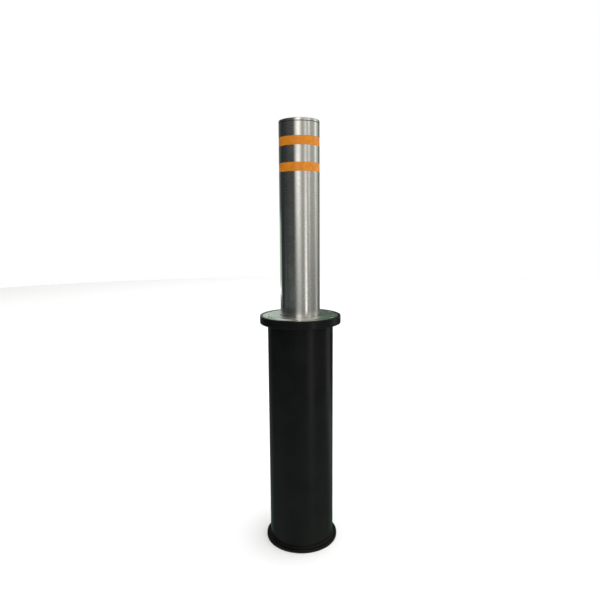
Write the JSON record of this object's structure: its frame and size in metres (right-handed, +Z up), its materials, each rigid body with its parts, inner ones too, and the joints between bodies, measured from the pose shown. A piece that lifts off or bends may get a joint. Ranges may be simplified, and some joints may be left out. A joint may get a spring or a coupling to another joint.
{
  "type": "retractable bollard",
  "caption": "Key-locked retractable bollard: brushed steel post with orange reflective bands that slides into a round black buried casing with a rimmed collar, raised by a gas spring.",
  "frame": {"origin": "centre of the base flange's underside, on the floor of the pit", "axes": "+Z up along the post and its travel; +X from the centre line towards the key socket and the lock bolt; +Y completes a right-handed frame"},
  "size_m": [0.346, 0.346, 1.8151],
  "materials": {
    "brushed_stainless": "brushed stainless steel, fine satin grain running round the post",
    "black_coat": "satin black coating",
    "orange_tape": "orange retroreflective sheeting with a clear gloss face",
    "zinc_steel": "zinc-plated steel",
    "chromed_rod": "hard chrome, polished",
    "black_rubber": "matte moulded rubber",
    "ivory_polymer": "satin turned acetal",
    "brass": "turned brass"
  },
  "bodies": {
    "casing": {"base_flange": "black_coat", "casing_tube": "black_coat", "head_collar": "black_coat", "cover_plate": "brushed_stainless", "cover_screw_1": "zinc_steel", "cover_screw_2": "zinc_steel", "cover_screw_3": "zinc_steel", "cover_screw_4": "zinc_steel", "cover_screw_5": "zinc_steel", "cover_screw_6": "zinc_steel", "guide_bush": "ivory_polymer", "wiper_seal": "black_rubber", "guide_rail_1": "zinc_steel", "guide_rail_2": "zinc_steel", "guide_rail_3": "zinc_steel", "lock_strike_upper": "zinc_steel", "lock_strike_lower": "zinc_steel", "lower_buffer_1": "black_rubber", "lower_buffer_2": "black_rubber", "lower_buffer_3": "black_rubber", "drain_strainer": "zinc_steel", "base_clevis": "zinc_steel", "base_pin": "zinc_steel", "gas_spring_lower_eye": "zinc_steel", "gas_spring_rod": "chromed_rod"},
    "post": {"post_tube": "brushed_stainless", "head_cap": "brushed_stainless", "reflective_tape_upper": "orange_tape", "reflective_tape_lower": "orange_tape", "post_foot": "zinc_steel", "upper_buffer": "black_rubber", "guide_shoe_1": "ivory_polymer", "guide_shoe_2": "ivory_polymer", "guide_shoe_3": "ivory_polymer", "shoe_screw_1": "zinc_steel", "shoe_screw_2": "zinc_steel", "shoe_screw_3": "zinc_steel", "top_clevis": "zinc_steel", "top_pin": "zinc_steel", "gas_spring_upper_eye": "zinc_steel", "gas_spring_cylinder": "black_coat", "shaft_guide_plate": "zinc_steel", "bolt_housing": "zinc_steel", "housing_lid": "zinc_steel", "housing_screw_1": "zinc_steel", "housing_screw_2": "zinc_steel", "key_cover_rivet": "brushed_stainless"},
    "lock": {"lock_barrel": "brass", "lock_shaft": "zinc_steel", "lock_cam": "zinc_steel"},
    "bolt": {"lock_bolt": "brushed_stainless"},
    "key_cover": {"key_cover": "brushed_stainless"}
  },
  "joints": [
    {"name": "post_slide", "type": "slide", "parent": "casing", "child": "post", "axis": [0, 0, 1], "range_m": [-0.8, 0], "stiffness_N_per_m": 150, "springref_m": 3},
    {"name": "lock_turn", "type": "hinge", "parent": "post", "child": "lock", "pos_m": [0.04, 0, 1.81], "axis": [0, 0, -1], "range_deg": [0, 90]},
    {"name": "bolt_slide", "type": "slide", "parent": "post", "child": "bolt", "axis": [1, 0, 0], "range_m": [0, 0.0184]},
    {"name": "key_cover_swing", "type": "hinge", "parent": "post", "child": "key_cover", "pos_m": [0.04, 0.024, 1.8115], "axis": [0, 0, -1], "range_deg": [0, 120]}
  ],
  "couplings": [
    {"joint": "bolt_slide", "follows": "lock_turn", "m_per_rad": 0.011704}
  ]
}
